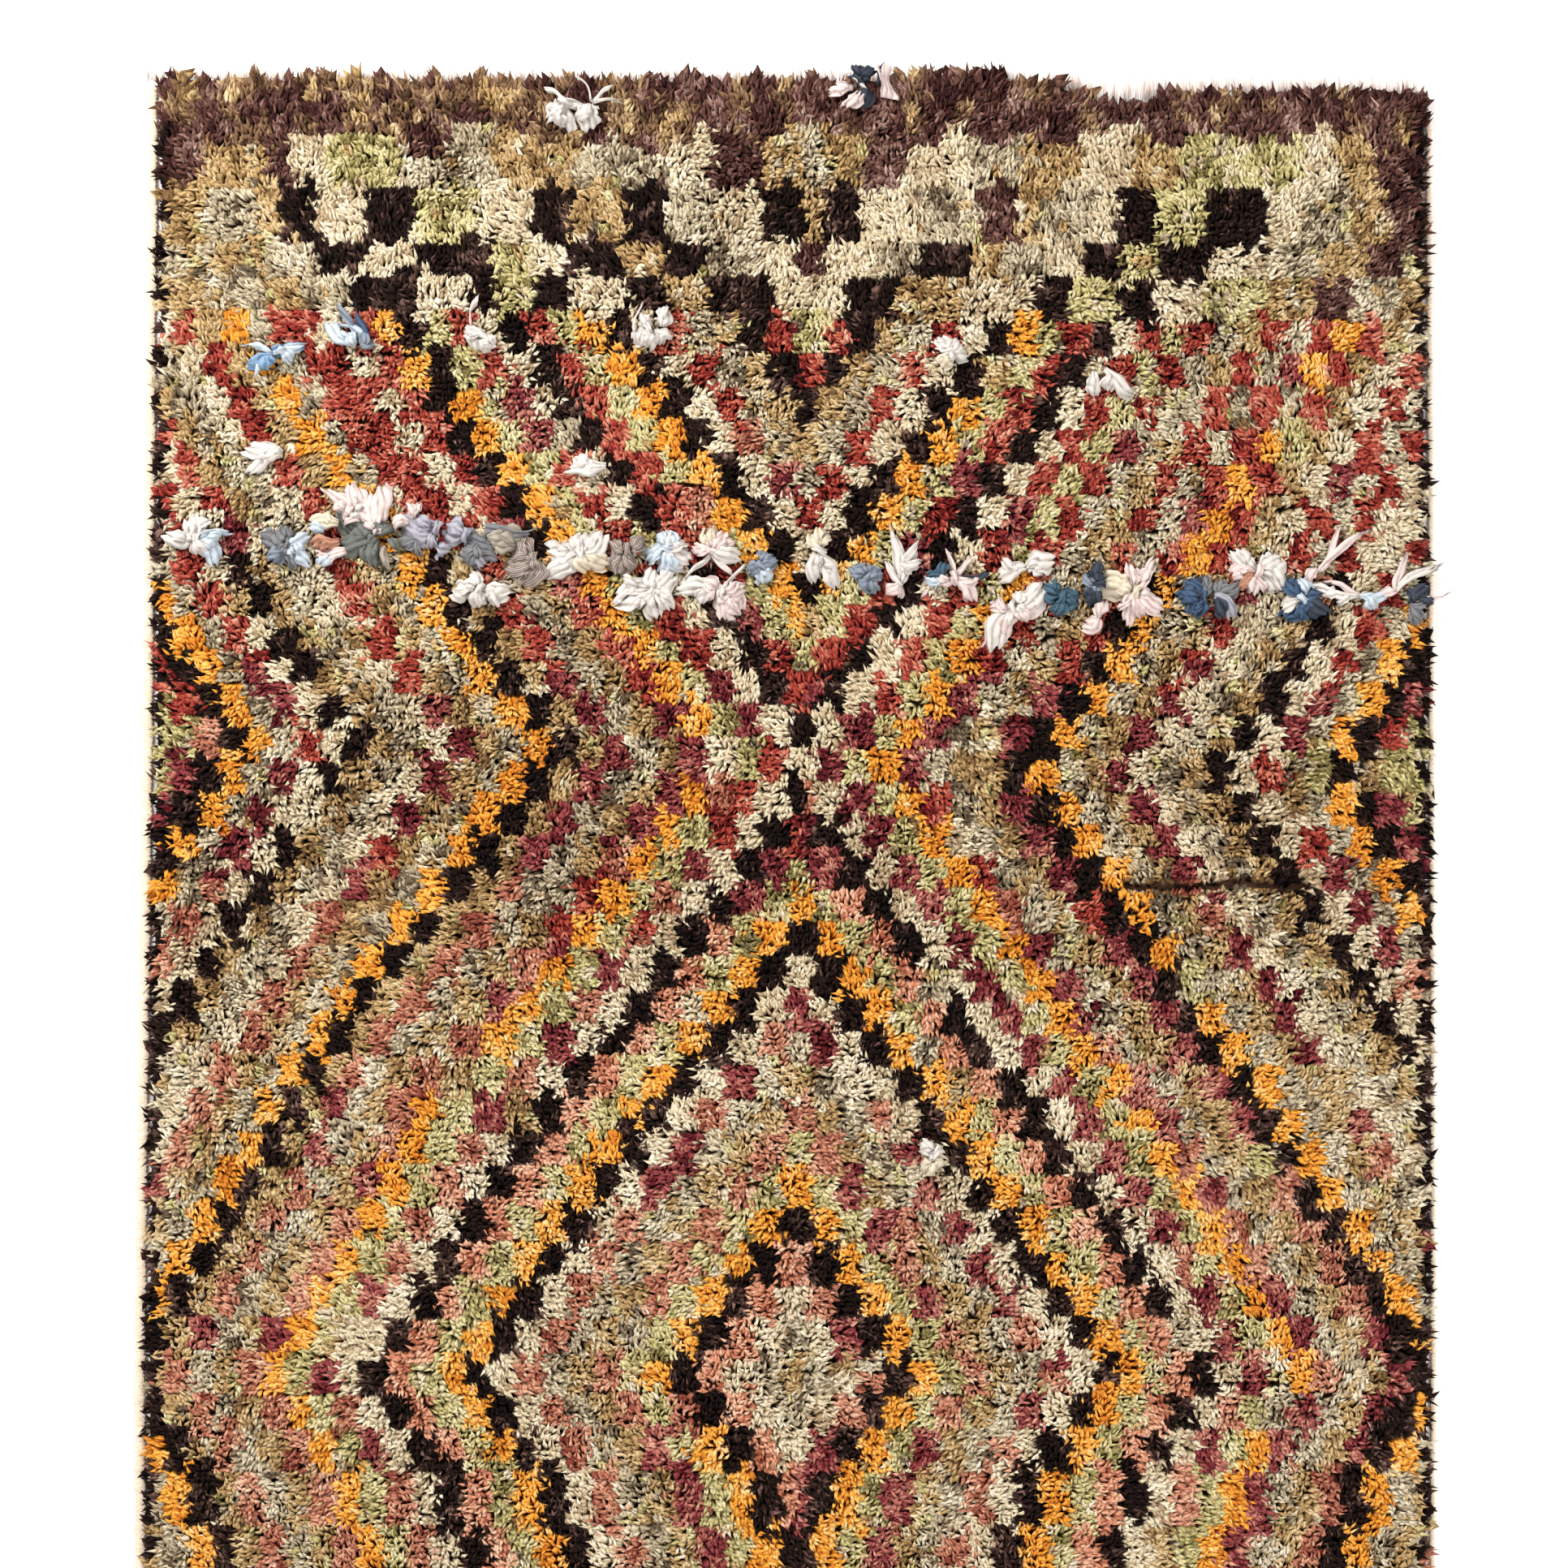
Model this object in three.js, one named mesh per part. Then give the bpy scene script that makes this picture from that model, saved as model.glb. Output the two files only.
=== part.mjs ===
// A tulu runner rug lying flat: a coarse wool ground cloth with long knotted pile, a comb of warp
// ends at each end, an overcast cord along each side, and cotton rag strips knotted into the pile.
// Millimetres. X runs across the rug, Y along it, +Z up; the floor is z = 0 and the origin is the
// middle of the rug.

import * as THREE from 'three';

// ---- Driving sizes ----

const RUG_WIDTH = 1200; // over the two side cords
const RUG_LENGTH = 2410; // over the two fringes
const PILE_HEIGHT = 22; // floor to the top of the lying pile
const PILE_WAVE = 1; // the pile's top rises and falls by this much
const RIM_WIDTH = 12; // the pile rounds off over this strip at every edge
const RIM_HEIGHT = 15; // height of the pile's outermost tufts
const GROUND_INSET = 5; // the ground cloth stops this far inside the outermost tufts
const SHOULDER_INSET = 3; // and so does the top of the rim
const GAP = 0.4; // between neighbouring pieces

const FRINGE_THICKNESS = 2.4;
const FRINGE_HEADING = 4; // solid strip that the warp ends leave
const FRINGE_PITCH = 20; // one bunch of warp ends
const FRINGE_BUNCH = 13;

const CORD_THICKNESS = 5;
const CORD_SIDES = 8;
const CORD_STEPS = 30;
const CORD_END_SETBACK = 8; // the cords stop short of the rug's corners

const TIE_LIFT = 2 * PILE_WAVE + GAP; // the ties clear the highest pile under them
const TIE_ROUND = 10; // faces round a tie
const TIE_RISE = 5; // rings from its base to its top
const TIE_LOBE = 0.16; // how deep the bays between a tie's loops are
const TIE_BASE = 0.45; // the part of the ball that is pressed flat

const COLUMNS = 14;
const ROWS = 28;
const LAYERS = 3;

// ---- The rug's outline, as uneven as it is woven ----

// Where the pile ends at the left and right, going up the rug.
const sideEdges = [
  { y: -1196, left: -579, right: 589 },
  { y: -560, left: -585, right: 593 },
  { y: 0, left: -588, right: 595.6 },
  { y: 560, left: -581, right: 594 },
  { y: 1196, left: -576, right: 591 },
];

// Where the pile ends at the bottom and top, going across it.
const endEdges = [
  { x: -600, bottom: -1193, top: 1196 },
  { x: -200, bottom: -1196, top: 1194 },
  { x: 170, bottom: -1194, top: 1195 },
  { x: 400, bottom: -1190, top: 1184 },
  { x: 600, bottom: -1192, top: 1174 },
];

// How far the warp ends reach, going across the rug.
const fringeEnds = [
  { x: -600, bottom: -1204, top: 1205 },
  { x: 0, bottom: -1205, top: 1204 },
  { x: 600, bottom: -1203, top: 1197 },
];

const sideCords = [
  { name: 'side_cord_left', edge: 'left', width: 11.6, outwards: -1 },
  { name: 'side_cord_right', edge: 'right', width: 4, outwards: 1 },
];

// ---- Rag ties: place of the knot, size over its loops, turn and number of loops ----

const WHITE = '#e9e4dd';
const PINKISH = '#e6cdc6';
const GREY_BLUE = '#8b93a6';
const DARK_GREY = '#55565c';
const DENIM = '#3f5a86';
const STRIPED = '#8d7f72';

const ragTies = [
  // Scattered over the upper part.
  { x: -188, y: 1164, length: 66, width: 42, turn: 15, loops: 4, height: 15, colour: WHITE },
  { x: 73, y: 1174, length: 68, width: 44, turn: 40, loops: 5, height: 14, colour: WHITE },
  { x: -475, y: 941, length: 60, width: 32, turn: -5, loops: 3, height: 12, colour: GREY_BLUE },
  { x: -396, y: 960, length: 60, width: 44, turn: -50, loops: 4, height: 14, colour: GREY_BLUE },
  { x: -276, y: 952, length: 46, width: 40, turn: 90, loops: 3, height: 12, colour: WHITE },
  { x: -122, y: 960, length: 46, width: 42, turn: 30, loops: 4, height: 13, colour: WHITE },
  { x: 150, y: 936, length: 40, width: 30, turn: -20, loops: 3, height: 11, colour: WHITE },
  { x: 294, y: 913, length: 48, width: 34, turn: 10, loops: 3, height: 12, colour: WHITE },
  { x: -478, y: 840, length: 48, width: 28, turn: -15, loops: 3, height: 11, colour: WHITE },
  { x: -177, y: 833, length: 44, width: 24, turn: 5, loops: 2, height: 10, colour: WHITE },
  { x: -404, y: 806, length: 50, width: 40, turn: 35, loops: 4, height: 13, colour: PINKISH },
  { x: 135, y: 202, length: 26, width: 18, turn: 60, loops: 2, height: 9, colour: WHITE },
  // The crooked row, from left to right.
  { x: -538, y: 766, length: 64, width: 40, turn: -15, loops: 4, height: 14, colour: WHITE },
  { x: -455, y: 760, length: 62, width: 34, turn: -20, loops: 4, height: 12, colour: GREY_BLUE },
  { x: -389, y: 766, length: 64, width: 40, turn: 10, loops: 5, height: 15, colour: DARK_GREY },
  { x: -338, y: 770, length: 36, width: 34, turn: 0, loops: 3, height: 12, colour: GREY_BLUE },
  { x: -280, y: 767, length: 72, width: 40, turn: -10, loops: 5, height: 14, colour: GREY_BLUE },
  { x: -228, y: 748, length: 36, width: 32, turn: 45, loops: 3, height: 12, colour: STRIPED },
  { x: -281, y: 722, length: 52, width: 34, turn: 20, loops: 3, height: 13, colour: WHITE },
  { x: -186, y: 752, length: 48, width: 42, turn: 15, loops: 4, height: 14, colour: WHITE },
  { x: -146, y: 756, length: 34, width: 34, turn: 0, loops: 3, height: 11, colour: STRIPED },
  { x: -108, y: 757, length: 42, width: 40, turn: 80, loops: 4, height: 14, colour: WHITE },
  { x: -120, y: 720, length: 62, width: 34, turn: 8, loops: 4, height: 15, colour: WHITE },
  { x: -66, y: 755, length: 44, width: 42, turn: -30, loops: 4, height: 13, colour: PINKISH },
  { x: -58, y: 717, length: 62, width: 34, turn: -12, loops: 4, height: 14, colour: PINKISH },
  { x: -20, y: 742, length: 32, width: 28, turn: 50, loops: 3, height: 11, colour: GREY_BLUE },
  { x: 32, y: 736, length: 50, width: 36, turn: 85, loops: 4, height: 12, colour: WHITE },
  { x: 76, y: 733, length: 36, width: 32, turn: 20, loops: 3, height: 11, colour: GREY_BLUE },
  { x: 106, y: 744, length: 58, width: 26, turn: 100, loops: 2, height: 13, colour: WHITE },
  { x: 156, y: 730, length: 52, width: 42, turn: -25, loops: 4, height: 14, colour: PINKISH },
  { x: 222, y: 740, length: 58, width: 34, turn: 12, loops: 4, height: 14, colour: WHITE },
  { x: 209, y: 702, length: 62, width: 42, turn: 25, loops: 5, height: 15, colour: PINKISH },
  { x: 256, y: 711, length: 34, width: 30, turn: 70, loops: 3, height: 11, colour: DENIM },
  { x: 288, y: 726, length: 34, width: 32, turn: 30, loops: 3, height: 12, colour: GREY_BLUE },
  { x: 322, y: 718, length: 48, width: 40, turn: 105, loops: 4, height: 14, colour: PINKISH },
  { x: 289, y: 694, length: 26, width: 24, turn: 60, loops: 2, height: 9, colour: PINKISH },
  { x: 384, y: 714, length: 58, width: 46, turn: 10, loops: 4, height: 13, colour: DENIM },
  { x: 435, y: 738, length: 52, width: 46, turn: -20, loops: 5, height: 15, colour: PINKISH },
  { x: 475, y: 711, length: 48, width: 44, turn: 30, loops: 4, height: 14, colour: DENIM },
  { x: 503, y: 758, length: 62, width: 26, turn: 70, loops: 2, height: 14, colour: PINKISH },
  { x: 527, y: 714, length: 50, width: 20, turn: 5, loops: 2, height: 10, colour: WHITE },
  { x: 560, y: 742, length: 52, width: 32, turn: 80, loops: 3, height: 13, colour: PINKISH },
  { x: 574, y: 706, length: 40, width: 26, turn: -20, loops: 2, height: 10, colour: DARK_GREY },
];

// ---- Helpers ----

// The value of a table's column at a place between its rows.
function along(table, key, at, column) {
  let i = 1;
  while (i < table.length - 1 && table[i][key] < at) i += 1;
  const below = table[i - 1];
  const above = table[i];
  const share = THREE.MathUtils.clamp((at - below[key]) / (above[key] - below[key]), 0, 1);
  return THREE.MathUtils.lerp(below[column], above[column], share);
}

const leftEdge = (y) => along(sideEdges, 'y', y, 'left');
const rightEdge = (y) => along(sideEdges, 'y', y, 'right');
const endEdge = (end, share) => along(endEdges, 'x', (share - 0.5) * RUG_WIDTH, end);

// Even steps from 0 to 1, changed so that the first and last are only `narrow` wide.
function crowded(t, steps, narrow) {
  const step = 1 / steps;
  if (t < step) return (narrow * t) / step;
  if (t > 1 - step) return 1 - (narrow * (1 - t)) / step;
  return narrow + ((1 - 2 * narrow) * (t - step)) / (1 - 2 * step);
}

// How much the pile's top is above or below its usual height.
function wave(x, y) {
  return (PILE_WAVE / 2) * (Math.sin(x / 150 + y / 410) + Math.cos(y / 170 - x / 320));
}

function eachVertex(geometry, move) {
  const places = geometry.attributes.position;
  const point = new THREE.Vector3();
  for (let i = 0; i < places.count; i += 1) {
    point.fromBufferAttribute(places, i);
    move(point);
    places.setXYZ(i, point.x, point.y, point.z);
  }
  geometry.computeVertexNormals();
  return geometry;
}

const rug = new THREE.Group();

function addPiece(name, geometry, colour, roughness = 0.95) {
  const material = new THREE.MeshStandardMaterial({ color: colour, roughness, metalness: 0 });
  const piece = new THREE.Mesh(geometry, material);
  piece.name = name;
  rug.add(piece);
  return piece;
}

// ---- The rug itself: one flat solid from the floor to the top of the pile ----

function pileSolid() {
  const block = new THREE.BoxGeometry(1, 1, 1, COLUMNS, ROWS, LAYERS);
  return eachVertex(block, (point) => {
    const across = point.x + 0.5;
    const upRug = point.y + 0.5;
    const up = point.z + 0.5;
    const onRim = [across, upRug].some((t) => t < 1e-6 || t > 1 - 1e-6);
    let inset = 0;
    if (onRim && up < 0.1) inset = GROUND_INSET;
    if (onRim && up > 0.9) inset = SHOULDER_INSET;
    const share = crowded(across, COLUMNS, RIM_WIDTH / RUG_WIDTH);
    const bottom = endEdge('bottom', share) + inset;
    const top = endEdge('top', share) - inset;
    point.y = THREE.MathUtils.lerp(bottom, top, crowded(upRug, ROWS, RIM_WIDTH / RUG_LENGTH));
    point.x = THREE.MathUtils.lerp(leftEdge(point.y) + inset, rightEdge(point.y) - inset, share);
    point.z = up * (onRim ? RIM_HEIGHT : PILE_HEIGHT + wave(point.x, point.y));
  });
}

addPiece('pile_rug', pileSolid(), '#86654a', 1);

// ---- Fringes: a comb of bunched warp ends along each end ----

function fringeComb(end, outwards) {
  const left = leftEdge(outwards * RUG_LENGTH);
  const right = rightEdge(outwards * RUG_LENGTH);
  const bunches = Math.floor((right - left) / FRINGE_PITCH);
  const pitch = (right - left) / bunches;
  const inner = (x) => endEdge(end, (x - left) / (right - left)) + outwards * GAP;
  const heading = (x) => inner(x) + outwards * FRINGE_HEADING;
  const reach = (x) => along(fringeEnds, 'x', x, end);
  const comb = new THREE.Shape();
  comb.moveTo(left, inner(left));
  for (let i = 0; i < bunches; i += 1) {
    const start = left + i * pitch;
    const finish = start + FRINGE_BUNCH;
    if (i > 0) comb.lineTo(start, heading(start));
    comb.lineTo(start, reach(start));
    comb.lineTo(finish, reach(finish));
    comb.lineTo(finish, heading(finish));
  }
  comb.lineTo(right, heading(right));
  for (let i = COLUMNS; i > 0; i -= 1) {
    const share = crowded(i / COLUMNS, COLUMNS, RIM_WIDTH / RUG_WIDTH);
    const x = THREE.MathUtils.lerp(left, right, share);
    comb.lineTo(x, inner(x));
  }
  comb.closePath();
  return new THREE.ExtrudeGeometry(comb, { depth: FRINGE_THICKNESS, bevelEnabled: false });
}

addPiece('fringe_top', fringeComb('top', 1), '#e2cfc0');
addPiece('fringe_bottom', fringeComb('bottom', -1), '#e2cfc0');

// ---- Side cords: a flattened round section drawn along each edge ----

function sideCord({ edge, width, outwards }) {
  const first = sideEdges[0].y + CORD_END_SETBACK;
  const last = along(endEdges, 'x', outwards * RUG_WIDTH, 'top') - CORD_END_SETBACK;
  const middle = outwards * (GAP + width / 2);
  const places = Array.from({ length: CORD_STEPS + 1 }, (_, i) => {
    const y = THREE.MathUtils.lerp(first, last, i / CORD_STEPS);
    return new THREE.Vector3(along(sideEdges, 'y', y, edge) + middle, y, CORD_THICKNESS / 2);
  });
  const path = new THREE.CatmullRomCurve3(places);
  const section = new THREE.Shape();
  for (let i = 0; i < CORD_SIDES; i += 1) {
    const turn = ((i + 0.5) * 2 * Math.PI) / CORD_SIDES;
    const reach = 0.5 / Math.cos(Math.PI / CORD_SIDES);
    section[i ? 'lineTo' : 'moveTo'](reach * Math.cos(turn), reach * Math.sin(turn));
  }
  section.closePath();
  const tube = new THREE.ExtrudeGeometry(section, { steps: CORD_STEPS, extrudePath: path });
  return eachVertex(tube, (point) => {
    const t = (point.y - first) / (last - first);
    const centre = path.getPoint(THREE.MathUtils.clamp(t, 0, 1));
    point.x = centre.x + (point.x - centre.x) * width;
    point.z = centre.z + (point.z - centre.z) * CORD_THICKNESS;
  });
}

for (const cord of sideCords) addPiece(cord.name, sideCord(cord), '#e6d8c4');

// ---- Rag ties: each a low lobed lump, its loops lying round the knot ----

function tieLump({ length, width, loops, height }) {
  const ball = new THREE.SphereGeometry(1, TIE_ROUND, TIE_RISE);
  return eachVertex(ball, (point) => {
    const turn = Math.atan2(point.z, point.x);
    const lobe = 1 - TIE_LOBE + TIE_LOBE * Math.cos(loops * turn);
    const rise = Math.max(0, (point.y + TIE_BASE) / (1 + TIE_BASE));
    point.set((point.x * lobe * length) / 2, (-point.z * lobe * width) / 2, rise * height);
  });
}

ragTies.forEach((tie, i) => {
  const name = `rag_tie_${String(i + 1).padStart(2, '0')}`;
  const piece = addPiece(name, tieLump(tie), tie.colour, 0.9);
  piece.position.set(tie.x, tie.y, PILE_HEIGHT + TIE_LIFT);
  piece.rotation.z = THREE.MathUtils.degToRad(tie.turn);
});

export default rug;
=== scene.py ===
import math

import bmesh
import bpy
import numpy as np
from mathutils import Matrix, Vector


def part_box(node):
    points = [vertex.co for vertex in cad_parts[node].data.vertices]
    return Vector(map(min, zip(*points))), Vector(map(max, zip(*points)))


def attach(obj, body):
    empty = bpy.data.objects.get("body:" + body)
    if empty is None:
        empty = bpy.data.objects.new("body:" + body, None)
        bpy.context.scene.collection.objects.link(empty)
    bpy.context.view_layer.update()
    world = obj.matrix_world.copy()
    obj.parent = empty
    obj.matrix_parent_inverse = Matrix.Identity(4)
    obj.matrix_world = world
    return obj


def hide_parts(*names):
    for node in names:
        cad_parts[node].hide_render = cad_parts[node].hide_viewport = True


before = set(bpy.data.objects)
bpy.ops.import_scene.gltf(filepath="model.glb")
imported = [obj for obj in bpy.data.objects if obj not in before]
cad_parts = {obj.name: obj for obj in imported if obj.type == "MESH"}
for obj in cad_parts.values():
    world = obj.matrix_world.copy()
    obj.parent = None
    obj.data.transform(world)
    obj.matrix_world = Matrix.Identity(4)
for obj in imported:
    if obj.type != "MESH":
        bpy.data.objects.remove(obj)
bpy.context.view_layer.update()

# A tulu runner rug lying flat: a ground cloth, long cut pile knotted into it in stepped lozenges,
# warp ends at both ends, an overcast cord along each side and rag strips tied into the pile.
# Metres. X runs across the rug, Y along it, +Z up.

TAU = 2 * math.pi
MM = 0.001


# ---- The rug's outline, as in the solid model ----

SIDE_EDGES = {
    "y": (-1.196, -0.560, 0.0, 0.560, 1.196),
    "left": (-0.579, -0.585, -0.588, -0.581, -0.576),
    "right": (0.589, 0.593, 0.5956, 0.594, 0.591),
}
END_EDGES = {
    "x": (-0.600, -0.200, 0.170, 0.400, 0.600),
    "bottom": (-1.193, -1.196, -1.194, -1.190, -1.192),
    "top": (1.196, 1.194, 1.195, 1.184, 1.174),
}


def side_edge(side, y):
    return np.interp(y, SIDE_EDGES["y"], SIDE_EDGES[side])


def end_edge(end, x):
    return np.interp(x, END_EDGES["x"], END_EDGES[end])


def swell(x, y, short, long, seed):
    """A smooth uneven surface, about -1 to 1, made of a few waves of these lengths."""
    draw = np.random.default_rng(seed)
    total = 0
    for _ in range(7):
        turn = draw.uniform(0, TAU)
        reach = (x * math.cos(turn) + y * math.sin(turn)) / draw.uniform(short, long)
        total = total + np.sin(TAU * reach + draw.uniform(0, TAU))
    return total / 2.6


def ease(low, high, value):
    """0 up to low, 1 from high, and a smooth way between them."""
    share = np.clip((value - low) / (high - low), 0, 1)
    return share * share * (3 - 2 * share)


# ---- The design: rings round a lozenge, V bands above them, a plain top border ----

# Where the rug's middle line runs, and how its checks are counted: rows up and down from the
# lozenge's middle, each rising a little across the rug, and columns out from the middle line.
RUG_MIDDLE = {"y": (0.0, 0.560, 1.196), "x": (0.007, 0.018, 0.028)}
ROWS_UP = {"y": (0.0, 0.170, 0.562, 1.117, 1.215), "row": (0, 5, 17, 34, 37)}
ROWS_DOWN = {"y": (0.0, 0.102, 0.136, 0.170, 1.215), "row": (0, 3, 3.4, 4, 37)}
ROW_TILT = {"x": (-0.59, -0.24, 0.0, 0.24, 0.59), "rise": (0.025, 0.014, 0.0, -0.010, -0.010)}
TILT_SHARE = {"y": (0.0, 0.3, 0.56, 0.9, 1.2), "share": (0.0, 0.5, 1.0, 0.3, 0.0)}
COLUMNS_LEFT = 25.4
COLUMNS_RIGHT = {"y": (0.0, 0.56, 1.196), "count": (25.4, 24.7, 24.7)}
COLUMN_BOW = {"most": 0.42, "columns": 25}  # the columns halfway lie further out
LEFT_BULGE = {"column": 15, "columns": 4.5, "row": 8, "rows": 2.8}  # left rings bulge here

TURN_ROW = 34  # twice the crossing's row: the rings count up to it and down again above it
UPPER_FROM = 22.5  # rows at which the upper rings, the changed pair of lines and the border start
CHANGED_FROM = 27.5
BORDER_FROM = 34.5

LOWER_RINGS = {
    "left": "tan grey cream salmon black gold sage rose tan grey rose cream black gold sage "
    "salmon black cream rose sage gold rose tan grey rose tan black gold grey tan rose cream grey "
    "tan black cream rose grey gold black rose sage sage tan",
    "right": "tan grey cream rose black gold sage rose tan grey rose cream black gold sage salmon "
    "black cream rose sage gold rose grey tan rose black gold grey tan rose cream grey tan black "
    "cream rose grey gold black rose sage sage tan tan",
}
UPPER_START = (
    "tan purple black cream cream sage red black tan grey red cream black gold sage red black "
    "cream red sage "
)
UPPER_RINGS = {
    "left": UPPER_START + "gold black red cream salmon salmon grey gold tan red cream grey tan "
    "red cream red grey tan tan",
    "right": UPPER_START + "red grey tan red grey red gold red tan cream red grey red cream "
    "cream red grey tan tan",
}
# The V bands above, row by row upwards: each block's colour and its width in half columns, from
# the rug's middle out. A row of blocks starts at each of these rows.
BAND_ROWS = (29.5, 30.6, 31.55, 33.15)
BANDS = {
    "left": (
        "cream 3, black 5, tan 3, black 3, cream 4, black 3, sage 3, black 2, cream 4, black 5, "
        "grey 4, tan 3, grey 5, tan 3",
        "purple 1, cream 3, grey 4, black 3, tan 3, black 4, cream 3, sage 3, black 6, cream 4, "
        "black 4, grey 4, tan 4, grey 4",
        "tan 1, black 3, cream 3, grey 4, black 3, tan 4, black 3, cream 4, sage 5, black 4, "
        "cream 4, black 3, tan 2, grey 4, tan 3",
        "grey 1, tan 3, purple 4, cream 3, grey 7, tan 6, grey 7, sage 6, cream 3, purple 2, "
        "tan 5, purple 3",
    ),
    "right": (
        "cream 3, black 4, tan 5, cream 5, black 3, sage 4, black 3, cream 4, sage 5, tan 4, "
        "purple 3, grey 4, tan 3",
        "purple 1, cream 4, grey 3, black 4, tan 3, grey 3, cream 3, black 3, sage 3, black 4, "
        "cream 6, grey 3, tan 4, purple 3, grey 3",
        "tan 1, black 3, cream 4, grey 5, purple 3, tan 2, grey 4, cream 2, black 3, sage 4, "
        "black 5, cream 3, grey 4, tan 3, purple 4",
        "grey 1, tan 3, purple 3, cream 5, grey 4, tan 5, cream 4, tan 4, sage 10, cream 3, "
        "tan 3, purple 5",
    ),
}

YARN_NAMES = "black gold red rose wine salmon cream sage tan grey purple umber".split()
YARN = {name: number for number, name in enumerate(YARN_NAMES)}
HALF_COLUMNS = 60  # half columns of checks in a row, more than the rug is wide
LOWER_ROWS = 60  # the rows below the middle have numbers of their own, from here on
STRAYS = ("tan", "grey", "rose", "sage", "cream", "tan", "grey")


def yarn_numbers(names):
    return np.array([YARN[name] for name in names])


def band_table(text):
    """The yarn of each half column of one row of blocks."""
    blocks = [block.split() for block in text.split(", ")]
    row = [name for name, width in blocks for _ in range(int(width))]
    return yarn_numbers(row + row[-1:] * (HALF_COLUMNS - len(row)))


def place_in_design(x, y):
    """Row and column from the middle of the lozenge, and how far right of its middle line."""
    height = abs(y)
    rise = np.interp(x, ROW_TILT["x"], ROW_TILT["rise"])
    rise = rise * np.interp(height, TILT_SHARE["y"], TILT_SHARE["share"])
    up = np.interp(y - rise, ROWS_UP["y"], ROWS_UP["row"])
    down = np.interp(-y, ROWS_DOWN["y"], ROWS_DOWN["row"])
    row = np.where(y > 0, up, down)
    middle = np.interp(height, RUG_MIDDLE["y"], RUG_MIDDLE["x"])
    right = np.interp(height, COLUMNS_RIGHT["y"], COLUMNS_RIGHT["count"])
    column = np.where(
        x < middle,
        COLUMNS_LEFT * (middle - x) / (middle - side_edge("left", y)),
        right * (x - middle) / (side_edge("right", y) - middle),
    )
    way_out = np.clip(column / COLUMN_BOW["columns"], 0, 1)
    column = column - COLUMN_BOW["most"] * np.sin(way_out * math.pi)
    off_column = (column - LEFT_BULGE["column"]) / LEFT_BULGE["columns"]
    off_row = (row - LEFT_BULGE["row"]) / LEFT_BULGE["rows"]
    swollen = np.exp(-(off_column**2) - off_row**2)
    column = column - np.where(x < middle, swollen, 0.0)
    return row, column, x - middle


def ring_yarn(rings, ring, left):
    """The yarn of these rings, from the left half's list or the right one's."""
    lists = {side: yarn_numbers(text.split()) for side, text in rings.items()}
    ring = np.clip(ring, 0, len(lists["left"]) - 1)
    return np.where(left, lists["left"][ring], lists["right"][ring])


def charted_yarn(row, column, row_number, column_number, left):
    """The yarn that the design gives each knot, without its border."""
    ring = column_number + np.minimum(row_number, TURN_ROW - row_number)
    lower = ring_yarn(LOWER_RINGS, ring, left)
    upper = ring_yarn(UPPER_RINGS, ring, left)
    yarn = np.where(row > UPPER_FROM, upper, lower)
    # In the topmost rows of the left side the gold line and the black one change places.
    changed = left & (row > CHANGED_FROM)
    yarn = np.where(changed & (ring == 20), YARN["black"], yarn)
    yarn = np.where(changed & (ring == 21), YARN["gold"], yarn)
    half_column = np.floor(np.abs(column) * 2 + 0.25)
    half_column = np.clip(half_column, 0, HALF_COLUMNS - 1).astype(int)
    for side, chosen in (("left", left), ("right", ~left)):
        for start, blocks in zip(BAND_ROWS, BANDS[side]):
            yarn = np.where(chosen & (row > start), band_table(blocks)[half_column], yarn)
    return yarn


def dyed_yarn(yarn, lot, row, height, left):
    """The same yarns by their dye lots: soft rose and wine low down, brick red higher up."""
    reddish = (yarn == YARN["rose"]) | (yarn == YARN["salmon"])
    soft = 1 - ease(0.36, 0.50, height)
    yarn = np.where(reddish & (lot > soft + 0.02), YARN["red"], yarn)
    wine_share = np.where(left, 0.18, 0.62)
    yarn = np.where((yarn == YARN["rose"]) & (lot * 7.3 % 1 < wine_share), YARN["wine"], yarn)
    yarn = np.where((yarn == YARN["red"]) & (lot * 5.7 % 1 < 0.12), YARN["wine"], yarn)
    # Now and then a knotter took the next yarn to hand.
    strayed = (lot * 31.7 % 1 < 0.035) & (row < BAND_ROWS[0])
    taken = (lot * 977 % len(STRAYS)).astype(int) % len(STRAYS)
    return np.where(strayed, yarn_numbers(STRAYS)[taken], yarn)


def border_yarn(x, y, draw):
    """The plain border at the end: brown, purple and some tan, in long streaks."""
    streak = swell(x * 1.6, y * 0.7, 0.03, 0.09, 29) + 0.9 * ease(-0.35, 0.35, x) - 0.15
    streak = streak + draw.normal(0, 0.35, len(x))
    brown = np.where(streak > 0.0, YARN["purple"], YARN["umber"])
    return np.where(streak < -1.15, YARN["tan"], brown)


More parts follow.
